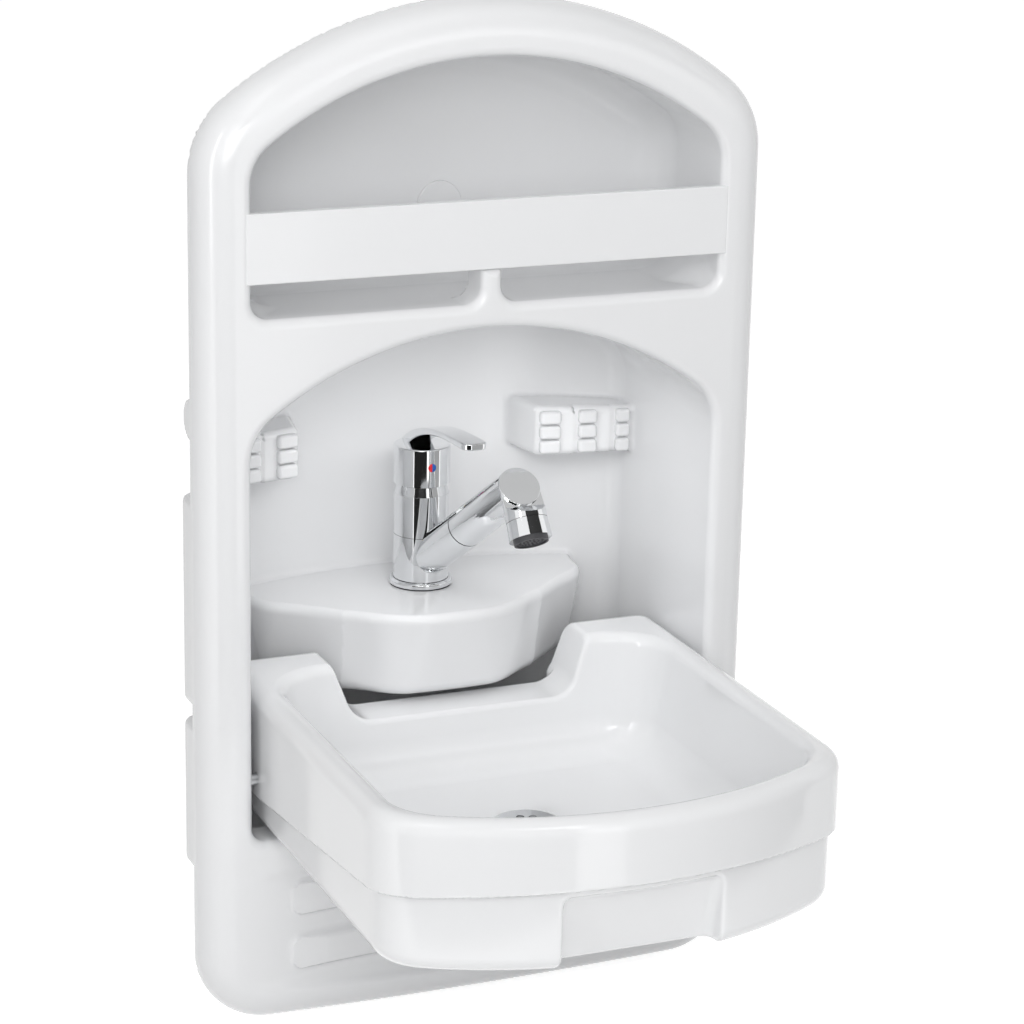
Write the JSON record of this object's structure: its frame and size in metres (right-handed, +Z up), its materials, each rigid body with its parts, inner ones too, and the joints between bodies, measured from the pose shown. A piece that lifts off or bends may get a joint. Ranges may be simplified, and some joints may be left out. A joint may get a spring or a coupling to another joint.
{
  "type": "tip-up basin",
  "caption": "Wall-recessed wash basin that folds up into its arched surround, with a compact single-lever mixer tap and an open compartment above.",
  "frame": {"origin": "middle of the surround's lowest edge, in the plane of the wall that the flange lies on", "axes": "+X to the right as seen from the room, +Y into the wall, +Z up; the basin is shown tipped down for use"},
  "size_m": [0.4, 0.454, 0.697],
  "materials": {
    "surround": "gloss",
    "recess": "gloss",
    "basin": "gloss",
    "rail": "gloss",
    "metal": "satin",
    "chrome": "polished",
    "brass": "satin",
    "rubber": "matte",
    "grey_plastic": "matte",
    "dark_plastic": "matte",
    "red": "gloss",
    "blue": "gloss"
  },
  "bodies": {
    "surround": {"surround_frame": "surround", "shelf_rail": "rail", "upper_compartment": "surround", "wall_cap": "surround", "lower_recess": "recess", "pivot_bushes": "grey_plastic", "stop_blocks": "grey_plastic", "catch_magnets": "metal", "sump_outlet": "grey_plastic", "sump_seal": "rubber", "sump_nut": "grey_plastic", "tap_gasket": "rubber", "tap_base_ring": "chrome", "tap_core": "brass", "swivel_orings": "rubber", "tap_upper_body": "chrome", "tap_collar": "chrome", "cartridge_housing": "grey_plastic", "shank_seal": "rubber", "shank_washer": "metal", "shank_nut": "brass", "supply_tails": "metal"},
    "basin": {"basin_bowl": "basin", "basin_under_shell": "basin", "pivot_pins": "metal", "stop_pegs": "grey_plastic", "catch_keepers": "metal", "waste_strainer": "chrome", "waste_duct": "grey_plastic", "waste_screw": "chrome"},
    "spout": {"tap_swivel_body": "chrome", "hand_seal": "rubber", "hand_piece": "chrome", "end_cap": "chrome", "nozzle_ring": "chrome", "aerator": "dark_plastic"},
    "lever_carrier": {"cartridge_rotor": "grey_plastic", "stem_pin": "metal"},
    "lever": {"lever_stem": "brass", "lever_cap": "chrome", "lever_blade": "chrome", "indicator_red": "red", "indicator_blue": "blue"}
  },
  "joints": [
    {"name": "basin_tilt", "type": "hinge", "parent": "surround", "child": "basin", "pos_m": [0, -0.015, 0.18], "axis": [-1, 0, 0], "range_deg": [0, 84]},
    {"name": "spout_swivel", "type": "hinge", "parent": "surround", "child": "spout", "pos_m": [0, 0.0976, 0.29], "axis": [0, 0, 1], "range_deg": [-64.7, 35.3]},
    {"name": "lever_turn", "type": "hinge", "parent": "surround", "child": "lever_carrier", "pos_m": [0, 0.0976, 0.334], "axis": [0, 0, 1], "range_deg": [-45, 45]},
    {"name": "lever_lift", "type": "hinge", "parent": "lever_carrier", "child": "lever", "pos_m": [0, 0.0976, 0.334], "axis": [-1, 0, 0], "range_deg": [0, 15]}
  ]
}
